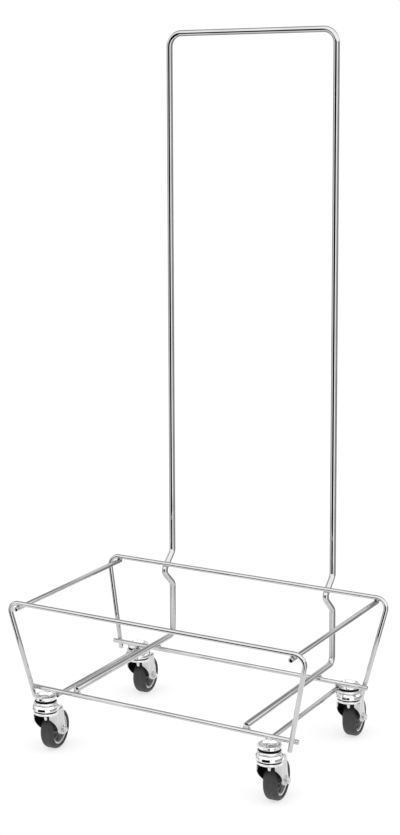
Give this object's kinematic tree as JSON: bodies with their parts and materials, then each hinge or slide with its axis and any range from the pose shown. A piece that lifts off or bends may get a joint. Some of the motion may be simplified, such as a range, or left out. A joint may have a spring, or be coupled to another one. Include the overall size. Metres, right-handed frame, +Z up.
{
  "type": "laundry sorter on wheels",
  "caption": "Wheeled laundry sorter frame of bent chromed rod: open tapered basket frame with a tall kinked hanging hoop behind it, on swivel casters with rubber tyres.",
  "frame": {"origin": "on the floor, under the middle of the whole cart's box with its casters at rest", "axes": "+Z up, +X to the cart's right seen from the front, +Y towards the back where the hanging hoop stands"},
  "size_m": [0.6604, 0.4698, 1.45],
  "materials": {
    "rod_chrome": "bright polished chrome plating",
    "weld_chrome": "chrome plated weld bead, slightly dull",
    "caster_chrome": "bright chromed steel pressing",
    "bright_hardware": "bright zinc plated steel",
    "ball_steel": "ground steel with a film of grease",
    "seal_rubber": "matte black",
    "core_plastic": "dark grey moulded plastic",
    "ring_plastic": "pale grey satin plastic",
    "tyre_rubber": "dark grey rubber, satin"
  },
  "bodies": {
    "frame": {"hanger_hoop": "rod_chrome", "front_frame_rod": "rod_chrome", "rear_frame_rod": "rod_chrome", "left_end_rod": "rod_chrome", "right_end_rod": "rod_chrome", "front_lower_rail": "rod_chrome", "rear_lower_rail": "rod_chrome", "left_caster_bar": "rod_chrome", "right_caster_bar": "rod_chrome", "weld_beads": "weld_chrome", "king_pins": "bright_hardware", "fl_cup": "caster_chrome", "fl_seal": "seal_rubber", "fl_upper_race": "caster_chrome", "fr_cup": "caster_chrome", "fr_seal": "seal_rubber", "fr_upper_race": "caster_chrome", "rl_cup": "caster_chrome", "rl_seal": "seal_rubber", "rl_upper_race": "caster_chrome", "rr_cup": "caster_chrome", "rr_seal": "seal_rubber", "rr_upper_race": "caster_chrome"},
    "fl_swivel": {"fl_lower_race": "caster_chrome", "fl_balls": "ball_steel", "fl_fork": "caster_chrome", "fl_axle_bolt": "bright_hardware", "fl_axle_nut": "bright_hardware", "fl_sleeve": "ball_steel"},
    "fl_wheel": {"fl_wheel_core": "core_plastic", "fl_rim_rings": "ring_plastic", "fl_tyre": "tyre_rubber"},
    "fr_swivel": {"fr_lower_race": "caster_chrome", "fr_balls": "ball_steel", "fr_fork": "caster_chrome", "fr_axle_bolt": "bright_hardware", "fr_axle_nut": "bright_hardware", "fr_sleeve": "ball_steel"},
    "fr_wheel": {"fr_wheel_core": "core_plastic", "fr_rim_rings": "ring_plastic", "fr_tyre": "tyre_rubber"},
    "rl_swivel": {"rl_lower_race": "caster_chrome", "rl_balls": "ball_steel", "rl_fork": "caster_chrome", "rl_axle_bolt": "bright_hardware", "rl_axle_nut": "bright_hardware", "rl_sleeve": "ball_steel"},
    "rl_wheel": {"rl_wheel_core": "core_plastic", "rl_rim_rings": "ring_plastic", "rl_tyre": "tyre_rubber"},
    "rr_swivel": {"rr_lower_race": "caster_chrome", "rr_balls": "ball_steel", "rr_fork": "caster_chrome", "rr_axle_bolt": "bright_hardware", "rr_axle_nut": "bright_hardware", "rr_sleeve": "ball_steel"},
    "rr_wheel": {"rr_wheel_core": "core_plastic", "rr_rim_rings": "ring_plastic", "rr_tyre": "tyre_rubber"}
  },
  "joints": [
    {"name": "fl_swivel_turn", "type": "hinge", "parent": "frame", "child": "fl_swivel", "pos_m": [-0.2505, -0.20744, 0.1], "axis": [0, 0, 1], "continuous": true},
    {"name": "fl_wheel_roll", "type": "hinge", "parent": "fl_swivel", "child": "fl_wheel", "pos_m": [-0.25409, -0.17011, 0.04], "axis": [0.9954, 0.0958, 0], "continuous": true},
    {"name": "fr_swivel_turn", "type": "hinge", "parent": "frame", "child": "fr_swivel", "pos_m": [0.2505, -0.20744, 0.1], "axis": [0, 0, 1], "continuous": true},
    {"name": "fr_wheel_roll", "type": "hinge", "parent": "fr_swivel", "child": "fr_wheel", "pos_m": [0.24691, -0.17011, 0.04], "axis": [0.9954, 0.0958, 0], "continuous": true},
    {"name": "rl_swivel_turn", "type": "hinge", "parent": "frame", "child": "rl_swivel", "pos_m": [-0.2505, 0.15716, 0.1], "axis": [0, 0, 1], "continuous": true},
    {"name": "rl_wheel_roll", "type": "hinge", "parent": "rl_swivel", "child": "rl_wheel", "pos_m": [-0.25409, 0.19449, 0.04], "axis": [0.9954, 0.0958, 0], "continuous": true},
    {"name": "rr_swivel_turn", "type": "hinge", "parent": "frame", "child": "rr_swivel", "pos_m": [0.2505, 0.15716, 0.1], "axis": [0, 0, 1], "continuous": true},
    {"name": "rr_wheel_roll", "type": "hinge", "parent": "rr_swivel", "child": "rr_wheel", "pos_m": [0.24691, 0.19449, 0.04], "axis": [0.9954, 0.0958, 0], "continuous": true}
  ]
}
